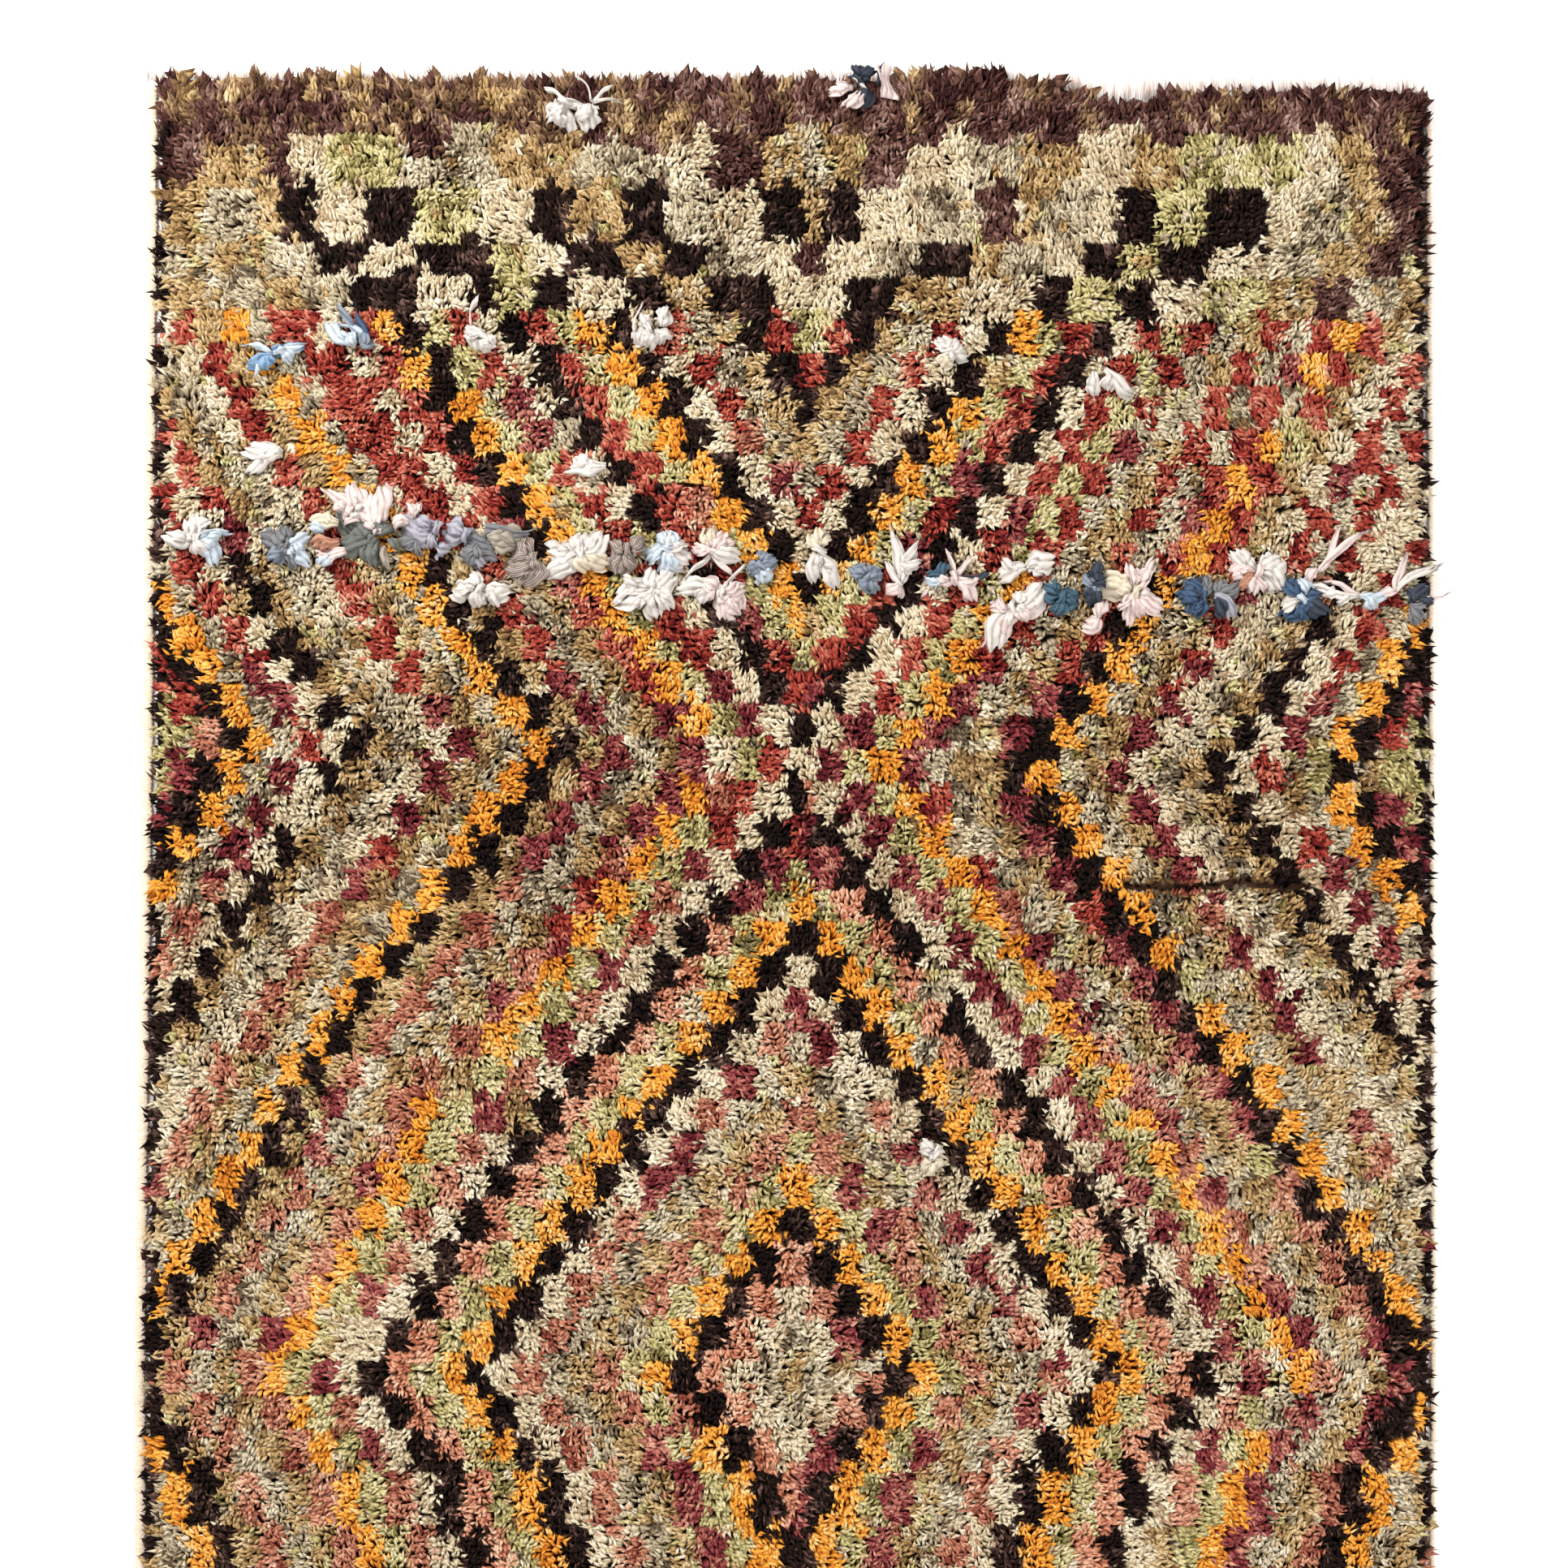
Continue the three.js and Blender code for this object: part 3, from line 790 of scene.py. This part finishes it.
# Each tie: its own cloth, then its strips. A strip is its kind (a lobe where none is said), where
# it starts from the tie's middle, the way it points in degrees, its reach and its width in
# millimetres, then its cloth where that differs and how far it bends in degrees.
RAG_TIES = {
    1: "white: -13,2 245 24 20; -13,0 212 20 14; 10,1 262 23 18; patch -16,1 0 32 9; "
    "tail -12,3 138 22 4; tail 12,2 40 22 4; tail 14,2 22 24 3.5; tail 11,3 100 26 1.6",
    2: "white: -4,15 60 14 16 slate; 2,8 285 18 13 slate; leaf 15,10 88 22 5 slate; "
    "patch 24,-2 88 32 18 pinkish; -8,7 176 22 9 pinkish; -2,4 245 18 13 pinkish; "
    "leaf 4,6 138 22 5",
    3: "grey_blue: patch 3,-5 20 26 12 sky; 3,-5 8 28 8 pale_blue; 3,-6 205 26 12 sky; "
    "leaf 2,-5 150 26 7 pale_blue; leaf 2,-6 220 26 5 pale_blue",
    4: "grey_blue: leaf 15,-15 122 36 9 pale_blue; leaf 10,-15 128 40 9; "
    "leaf 17,-16 115 38 7 denim; 4,-16 155 32 11 pale_blue; 8,-18 20 12 9",
    5: "white: 1,-3 255 14 22; tail -7,-6 110 38 3 pinkish -30; 3,-2 300 12 12; 0,0 170 12 12",
    6: "white: -2,-2 215 18 14; 0,-3 265 16 13; 4,-2 290 14 12; 10,0 70 18 13; 150 12 12; "
    "tail -15,-4 95 28 2.5 pinkish",
    7: "white: 125 16 14; 350 18 12; 0,-2 250 14 14 cream",
    8: "white: -12,8 262 22 10; -2,10 310 34 11",
    9: "white: 16,3 170 34 14; 16,2 195 34 10",
    10: "white: 14,0 180 34 13; 0,1 150 14 8",
    11: "pinkish: 8,-23 120 36 14; 8,-23 95 34 14; 8,-23 70 30 16 white; -4,-25 170 26 13 cream",
    12: "white: 4,2 150 16 13; 2,-2 260 14 12 cream; 320 12 10 cream",
    13: "white: 185 30 13; 80 22 15; 125 20 10; 330 28 16 pale_blue; 20 30 9 pale_blue; 280 14 12",
    14: "grey_blue: 170 26 16 grey; 110 18 14 grey; 230 20 14; 290 20 13 grey; 20 22 12 pale_blue; "
    "325 26 12 pale_blue",
    15: "slate: 16,6 120 46 26 pinkish; 14,4 100 40 22 pinkish; 14,0 175 44 22 grey_green; "
    "14,0 205 36 20 grey_green; 14,-2 240 24 18 grey_green; 14,2 150 34 14 grey_green; "
    "-20,-4 190 26 12 salmon; -14,-12 200 26 14 pinkish; -34,6 160 14 10 pale_blue; "
    "-28,-16 230 14 10 pale_blue; 14,2 60 16 14 grey_green; leaf 22,-8 250 22 9 sand; "
    "leaf 24,-2 330 14 8 grey_green",
    16: "grey_blue: 18,6 170 34 20 lilac; 16,0 190 32 18 lilac; -8,10 160 16 10 pinkish; "
    "-4,14 100 16 9 pinkish; 14,-4 300 18 16 lilac; 0,-6 200 16 12 grey",
    17: "grey_blue: -14,4 170 20 22 lilac; patch -16,-2 0 30 26 grey; 6,2 10 30 24 sand; "
    "-2,-4 240 20 18 grey; patch 4,10 350 40 14 grey; patch -10,-18 0 13 9 lilac; "
    "-6,-6 280 14 14 grey",
    18: "ticking: 200 26 22; 270 26 22; 150 24 18",
    19: "white: 170 24 18; 350 28 16; 250 16 14; 120 16 12",
    20: "white: 215 38 16; 160 30 20; 90 20 18; 30 28 18; 340 26 16 cream; 280 16 16 cream",
    21: "ticking: 200 16 20; 250 24 22; 20 18 16",
    22: "white: 80 16 20 pale_blue; 200 20 18 pale_blue; 330 24 20; 270 22 18 pale_blue; 30 18 14",
    23: "white: 170 36 20; 215 34 18; 270 26 16; 20 24 18; 100 18 14; 320 24 14",
    24: "pinkish: 70 20 16; 20 22 16; 160 18 10; 110 22 12 cream; tail 235 34 5 white; "
    "tail 300 30 5 white; 340 26 14 white",
    25: "pinkish: 170 40 16 white; 150 24 16; 330 26 22; 270 24 14; 20 22 16; tail 45 34 5 white",
    26: "grey_blue: 80 14 12; 280 16 14 pale_blue; 20 14 12; 190 14 12",
    27: "white: 0,20 250 28 12; 0,20 290 38 13; 0,20 80 18 12 cream; 0,20 120 16 10 cream",
    28: "grey_blue: 150 18 14; 30 14 14; 270 16 14",
    29: "white: leaf 0,-18 97 48 14; leaf 2,-18 70 36 12; 0,-16 265 16 7 pinkish; "
    "leaf 3,-20 150 26 7; 330 12 8",
    30: "pinkish: tail 100 26 7; tail 60 24 6; 200 22 10; 330 26 12; tail 350 30 6 slate; "
    "tail 190 30 4; -10,2 150 10 7 teal; -12,-2 215 10 6 pale_blue",
    31: "white: 190 26 14; 20 26 18",
    32: "pinkish: 30 36 20 white; 350 30 18; 225 40 18 white; 255 28 14; 180 20 10; "
    "tail 215 44 3.5",
    33: "denim: 0 16 20 teal; 150 16 18 teal; 260 16 14 teal",
    34: "grey_blue: 110 18 12 slate; 240 20 12 slate; 180 12 14",
    35: "pinkish: 170 34 26 cream; 100 24 14; 60 32 10; 260 24 14; 320 30 16; 240 30 12",
    36: "pinkish: 250 16 10; 100 12 9",
    37: "denim: 180 22 13; 220 20 13; 140 20 12; 260 20 12; 100 18 10 slate; 60 18 12 grey; "
    "10,0 20 26 12 grey; 10,0 340 26 12 lilac; 12,-2 300 18 12 slate",
    38: "pinkish: 170 26 20; 150 30 14 white; 20 24 24 white; 330 26 18 white; 200 24 8 salmon; "
    "250 20 14",
    39: "denim: 60 20 12 pale_blue; 120 22 14; 200 18 16 white; 300 20 20; 250 24 16; 0 16 18; "
    "330 26 14 slate",
    40: "pinkish: leaf -14,-22 55 60 8; leaf -12,-22 48 46 7; -14,-20 200 14 9",
    41: "white: 175 44 8; 350 26 9 pale_blue; tail 150 34 6 pinkish",
    42: "pinkish: leaf 2,-28 95 36 9; leaf 2,-28 50 50 7 white; 2,-26 200 14 8",
    43: "slate: 40 24 14; 320 20 12 grey; tail 20 36 4 pinkish",
}
CLOTH = 0.8 * MM
TIE_LOW = 19.0 * MM  # the ties lie sunk a little into the pile
FOLD_APART = 6.4 * MM
STRIP_RISE = {"lobe": 7.0, "leaf": 6.0, "tail": 3.0, "patch": 5.0, "band": 6.5}  # millimetres
LOBE_FULLNESS = 1.22  # lobes are cut this much wider than their gathered width
MOST_CRUMPLES = 7
LAYER_RISE = 0.7 * MM  # each strip of a tie lies this much above the last, up to the eighth
BAND_RISE = 1.6 * MM
PER_CENTIMETRE = 100


def strips_of(text, own_cloth):
    """The strips written in one line of RAG_TIES."""
    found = []
    for words in (item.split() for item in text.split(";")):
        kind = words.pop(0) if words[0] in STRIP_RISE else "lobe"
        start = (0.0, 0.0)
        if "," in words[0]:
            start = tuple(float(value) * MM for value in words.pop(0).split(","))
        turn, reach, width = (float(words.pop(0)) for _ in range(3))
        cloths = [word for word in words if word in CLOTHS]
        bends = [float(word) for word in words if word not in CLOTHS]
        strip = {"kind": kind, "start": start, "turn": math.radians(turn)}
        strip |= {"reach": reach * MM, "width": width * MM}
        strip["cloth"] = cloths[0] if cloths else own_cloth
        strip["bend"] = math.radians(bends[0]) if bends else None
        found.append(strip)
    return found


def strip_half_width(kind, along):
    """Share of the strip's half width from its knot, 0, to its cut end, 1."""
    if kind == "leaf":
        return math.sin(math.pi * (0.07 + 0.88 * along)) ** 0.75
    if kind == "tail":
        return 1 - 0.45 * along**3
    if kind == "patch":
        return 1 - 0.10 * along
    if kind == "band":
        return 0.85 + 0.15 * math.cos(TAU * along)
    opening = 0.40 + 0.60 * float(ease(0.0, 0.45, along))
    past = max(0.0, (along - 0.58) / 0.42)
    return opening * math.sqrt(1 - 0.72 * past**2.6)


def with_its_lie(strip, draw):
    """The strip with how it bends, rises, folds, crumples and twists, drawn for it alone."""
    lie = dict(strip)
    if lie["bend"] is None:
        lie["bend"] = draw.normal(0, 0.30)
    lie["rise"] = STRIP_RISE[lie["kind"]] * MM * draw.uniform(0.75, 1.3)
    lie["folds"] = max(1.2, lie["width"] / FOLD_APART) * draw.uniform(0.8, 1.15)
    deep = 1.0 if lie["kind"] in ("tail", "leaf") else 2.3
    lie["crease"] = deep * draw.uniform(0.7, 1.4) * MM
    lie["lumps"] = [
        (draw.uniform(0, TAU), draw.uniform(0, TAU), draw.uniform(6, 11) * MM) for _ in range(4)
    ]
    lie["phase"], lie["wave"], lie["drift"] = draw.uniform(0, TAU, 3)
    lie["slant"], lie["twist"] = draw.uniform(-1, 1), draw.normal(0, 0.42)
    return lie


def fold_height(lie, across, along):
    """How high the gathers are here, 0 in a fold to 1 on a ridge."""
    sway = lie["phase"] + 1.1 * math.sin(2.4 * along + lie["drift"])
    return abs(math.cos(0.5 * math.pi * lie["folds"] * across + sway)) ** 0.7


def place_on_strip(lie, across, along, fold, level):
    """Where a point of the strip lies, from its tie's middle: across is -1 to 1, along 0 to 1."""
    kind, wave, drift = lie["kind"], lie["wave"], lie["drift"]
    cut = 1 + 0.16 * lie["slant"] * across + 0.07 * math.sin(across * 6 + wave)
    run = along * cut * lie["reach"]
    arch = 1 - ((along - 0.40) / 0.60) ** 2
    if kind == "band":
        run = run - lie["reach"] / 2
        arch = math.sin(math.pi * along)
    heading = lie["turn"] + lie["bend"] * (along - 0.2) + 0.10 * math.sin(5 * along + drift)
    ragged = 1 + 0.12 * math.sin(TAU * 1.3 * along + wave + 1.5 * across)
    ragged += 0.07 * math.sin(TAU * 2.9 * along + drift - across)
    half = lie["width"] / 2
    sideways = half * strip_half_width(kind, along) * ragged * across
    turned = lie["twist"] * math.sin(math.pi * along)
    aside = sideways * math.cos(turned)
    x = lie["start"][0] + run * math.cos(heading) - aside * math.sin(heading)
    y = lie["start"][1] + run * math.sin(heading) + aside * math.cos(heading)
    z = TIE_LOW + 1.0 * MM + level + lie["rise"] * arch + sideways * math.sin(turned)
    z -= 0.42 * half * across * across * (0.3 if kind == "patch" else 1.0)
    for way, shift, apart in lie["lumps"]:
        z += 0.5 * MM * math.sin(TAU * (x * math.cos(way) + y * math.sin(way)) / apart + shift)
    z += lie["crease"] * (0.55 + 0.45 * (1 - along)) * (fold - 0.55)
    z += 1.1 * MM * across * across * math.sin(TAU * 1.2 * along + wave)
    return Vector((x, y, max(z, TIE_LOW)))


def lay_strip(bm, maps, strip, middle, level, paint_number, draw):
    """One strip of cloth: a grid gathered at the knot, arched, creased and given its thickness."""
    lie = with_its_lie(strip, draw)
    steps_across = int(np.clip(strip["width"] / (1.5 * MM), 3, 14))
    steps_along = int(np.clip(strip["reach"] / (2.8 * MM), 5, 12))
    earlier = set(bm.faces)
    grid = bmesh.ops.create_grid(bm, x_segments=steps_across, y_segments=steps_along, size=1)
    faces = [face for face in bm.faces if face not in earlier]
    flat = {vertex: (vertex.co.x, (vertex.co.y + 1) / 2) for vertex in grid["verts"]}
    folds = {vertex: fold_height(lie, *place) for vertex, place in flat.items()}
    lay_map, fold_map = maps
    for face in faces:
        face.smooth = True
        face.material_index = paint_number
        for loop in face.loops:
            across, along = flat[loop.vert]
            cloth_across = across * strip["width"] / 2 * PER_CENTIMETRE
            loop[lay_map].uv = (cloth_across, along * strip["reach"] * PER_CENTIMETRE)
            # Fold height, which cloth_paint turns into painted shade in the folds.
            loop[fold_map].uv = (folds[loop.vert], along)
    for vertex, (across, along) in flat.items():
        place = place_on_strip(lie, across, along, folds[vertex], level)
        vertex.co = (middle.x + place.x, middle.y + place.y, place.z)
    bmesh.ops.solidify(bm, geom=faces, thickness=CLOTH)


def crumpled_bits(lobes, draw):
    """Short bits of the same cloths, crumpled up round the knot."""
    bits = []
    for lobe in (lobes + lobes)[:MOST_CRUMPLES]:
        turn = lobe["turn"] + draw.uniform(-1.1, 1.1)
        away = draw.uniform(0.0, 0.45) * lobe["reach"]
        x, y = lobe["start"]
        start = (x + away * math.cos(lobe["turn"]), y + away * math.sin(lobe["turn"]))
        reach, width = draw.uniform(9, 15) * MM, draw.uniform(8, 14) * MM
        bits.append(dict(lobe, bend=None, turn=turn, start=start, reach=reach, width=width))
    return bits


def build_tie(number, paints):
    """One rag tie: its strips, crumpled bits round the knot and a turn of cloth over it."""
    own_cloth, text = RAG_TIES[number].split(": ")
    node = f"rag_tie_{number:02d}"
    low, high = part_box(node)
    middle = (low + high) / 2
    draw = np.random.default_rng(900 + number)
    strips = strips_of(text, own_cloth)
    lobes = [strip for strip in strips if strip["kind"] == "lobe"]
    for lobe in lobes:
        lobe["width"] *= LOBE_FULLNESS
    if len(lobes) > 1:
        strips += crumpled_bits(lobes, draw)
    if len(lobes) > 2:
        band = dict(lobes[0], kind="band", bend=0.1, turn=lobes[0]["turn"] + 1.3)
        strips.append(dict(band, reach=14 * MM, width=8 * MM))
    bm = bmesh.new()
    maps = [bm.loops.layers.uv.new(name) for name in ("cloth_lay", "cloth_folds")]
    cloths = sorted({strip["cloth"] for strip in strips})
    for layer, strip in enumerate(strips):
        level = LAYER_RISE * min(layer, 8) + (BAND_RISE if strip["kind"] == "band" else 0)
        lay_strip(bm, maps, strip, middle, level, cloths.index(strip["cloth"]), draw)
    bmesh.ops.recalc_face_normals(bm, faces=bm.faces[:])
    piece = finished_piece(f"tied_rag_{number:02d}", bm, [paints[cloth] for cloth in cloths])
    return standing_for(node, piece)


# ---- Warp ends and side cords ----

FRINGE_EDGES = {
    "x": (-0.600, 0.0, 0.600),
    "bottom": (-1.204, -1.205, -1.203),
    "top": (1.205, 1.204, 1.197),
}
FRINGE_APART = 1.9 * MM


def build_fringe(end, outward):
    """Loose warp ends lying flat past the last knots."""
    draw = np.random.default_rng(7 if end == "top" else 8)
    x = np.arange(-0.588, 0.590, FRINGE_APART)
    x = x + draw.normal(0, 0.5, len(x)) * MM
    start = end_edge(end, x) - outward * 9 * MM
    if end == "top":
        start = np.minimum(start, last_knots(x) - 7 * MM)
    reach = np.interp(x, FRINGE_EDGES["x"], FRINGE_EDGES[end]) - start
    reach = reach * np.clip(draw.normal(0.90, 0.10, len(x)), 0.6, 1.0)
    drift = draw.normal(0, 1.6, len(x)) * MM + 1.5 * MM * swell(x, 0 * x, 0.02, 0.05, 9)
    height = draw.uniform(1.0, 3.2, len(x)) * MM

    def at(share, z):
        return np.column_stack([x + drift * share**1.5, start + reach * share, z])

    near = at(0.0, np.full(len(x), 2.0 * MM))
    middle = at(0.55, height + 0.6 * MM)
    far = at(1.0, height * 0.4 + 0.3 * MM)
    aside = np.column_stack([np.full(len(x), outward), np.zeros(len(x))])
    half = draw.uniform(0.40, 0.75, len(x)) * MM
    tone = draw.random(len(x)) * 0.999
    paint = yarn_paint("undyed")
    piece = joined_locks(f"warp_ends_{end}", near, middle, far, aside, half, tone, paint)
    return standing_for(f"fringe_{end}", piece)


CORD_PITCH = 4.2 * MM
CORD_SIDES = 8
CORD_HALF_WIDTH = {"left": 5.8 * MM, "right": 2.8 * MM}
CORD_HALF_THICK = 2.0 * MM
CORD_MIDDLE = 2.4 * MM
CORD_GROOVE = 0.74  # the cord's width between two wraps, as a share of its width on one


def build_side_cord(side, inward):
    """The overcast edge: a flat tube of slanted wraps along one side."""
    node = f"side_cord_{side}"
    low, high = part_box(node)
    length = high.y - low.y - 2 * MM
    wraps = int(length / CORD_PITCH)
    rings = wraps * 2
    draw = np.random.default_rng(21 if side == "left" else 22)
    bulge = draw.uniform(0.85, 1.15, wraps + 1)
    half_wide = CORD_HALF_WIDTH[side]
    bm = bmesh.new()
    bmesh.ops.create_grid(bm, x_segments=CORD_SIDES, y_segments=rings, size=1)
    for vertex in bm.verts:
        round_way = (vertex.co.x + 1) / 2 * TAU
        ring = (vertex.co.y + 1) / 2 * rings
        number = int(round(ring))
        ridge = (1.0 if number % 2 else CORD_GROOVE) * bulge[number // 2]
        closing = min(1.0, ring / 3 + 0.25, (rings - ring) / 3 + 0.25)
        y = low.y + 1 * MM + length * ring / rings
        centre = side_edge(side, y) - inward * (half_wide - 0.6 * MM)
        x = centre + half_wide * ridge * closing * math.cos(round_way)
        x = x + 0.4 * MM * math.sin(y * 90)
        slant = 0.5 * CORD_PITCH * math.cos(round_way) * (1 if closing == 1.0 else 0)
        z = CORD_MIDDLE + CORD_HALF_THICK * ridge * closing * math.sin(round_way)
        vertex.co = (x, y + slant, z)
    bmesh.ops.remove_doubles(bm, verts=bm.verts[:], dist=0.01 * MM)
    bmesh.ops.holes_fill(bm, edges=[edge for edge in bm.edges if edge.is_boundary], sides=0)
    bmesh.ops.recalc_face_normals(bm, faces=bm.faces[:])
    for face in bm.faces:
        face.smooth = True
    piece = finished_piece(f"overcast_edge_{side}", bm, [cord_paint()])
    return standing_for(node, piece)


# ---- Ground cloth ----

GROUND_INSET = 0.004  # the cloth ends this far inside the rug's outline


def build_ground():
    """The woven cloth under the pile, a thin closed sheet with the rug's outline."""
    bm = bmesh.new()
    bmesh.ops.create_grid(bm, x_segments=60, y_segments=48, size=1)
    for vertex in bm.verts:
        share_x = (vertex.co.x + 1) / 2
        share_y = (vertex.co.y + 1) / 2
        y = -1.19 + 2.38 * share_y
        left = side_edge("left", y) + GROUND_INSET
        right = side_edge("right", y) - GROUND_INSET
        x = left + (right - left) * share_x
        bottom = end_edge("bottom", x) + GROUND_INSET
        top = min(end_edge("top", x) - GROUND_INSET, last_knots(x) - 0.002)
        vertex.co = (x, bottom + (top - bottom) * share_y, GROUND_TOP)
    bmesh.ops.solidify(bm, geom=bm.faces[:], thickness=GROUND_TOP - 0.2 * MM)
    bmesh.ops.recalc_face_normals(bm, faces=bm.faces[:])
    piece = finished_piece("ground_cloth", bm, [ground_paint()])
    return standing_for("pile_rug", piece)


# ---- Floor, light and camera ----

VIEW_WIDTH = 1.4393
VIEW_MIDDLE = (0.0, 0.5416)
LENS = 100
SENSOR = 36
FLOOR_HALF = 12
FLOOR_COLOUR = (0.93, 0.92, 0.91, 1)
SKY_COLOUR = (1.0, 0.98, 0.96, 1)
SKY_STRENGTH = 0.9
LAMP_COLOUR = (1.0, 0.985, 0.96)
# Each lamp: its name, its place, its size and its power.
LAMPS = (
    ("key", (-1.8, 2.6, 2.3), 1.6, 150),
    ("fill", (2.2, -0.8, 2.6), 2.2, 60),
)


def build_floor():
    bm = bmesh.new()
    bmesh.ops.create_grid(bm, x_segments=1, y_segments=1, size=FLOOR_HALF)
    mesh = finished_mesh("floor", bm)
    mesh.transform(Matrix.Translation((0, 0, -0.3 * MM)))
    mesh.materials.append(Paint("studio floor", Roughness=0.9, Base_Color=FLOOR_COLOUR).material)
    in_scene("floor", mesh)


def build_lights():
    world = bpy.data.worlds.new("studio")
    bpy.context.scene.world = world
    world.use_nodes = True
    sky = world.node_tree.nodes["Background"]
    sky.inputs["Color"].default_value = SKY_COLOUR
    sky.inputs["Strength"].default_value = SKY_STRENGTH
    for name, place, size, power in LAMPS:
        lamp = bpy.data.lights.new(name, "AREA")
        lamp.energy = power
        lamp.size = size
        lamp.color = LAMP_COLOUR
        light = in_scene(name, lamp)
        light.location = place
        aim = Vector((*VIEW_MIDDLE, 0)) - Vector(place)
        light.rotation_euler = aim.to_track_quat("-Z", "Y").to_euler()


def build_camera():
    """It looks straight down on the rug, and sees VIEW_WIDTH of it at the pile."""
    lens = bpy.data.cameras.new("camera")
    lens.lens = LENS
    lens.sensor_width = SENSOR
    lens.clip_end = 50
    camera = in_scene("camera", lens)
    camera.location = (*VIEW_MIDDLE, VIEW_WIDTH * LENS / SENSOR + PILE_TOP * 0.8)
    bpy.context.scene.camera = camera
    bpy.context.scene.view_settings.view_transform = "Standard"


build_floor()
build_lights()
build_camera()
ground = build_ground()
on_it = build_pile()
on_it += [build_fringe("top", 1), build_fringe("bottom", -1)]
on_it += [build_side_cord("left", 1), build_side_cord("right", -1)]
cloth_paints = {name: cloth_paint(name) for name in CLOTHS}
on_it += [build_tie(number, cloth_paints) for number in RAG_TIES]
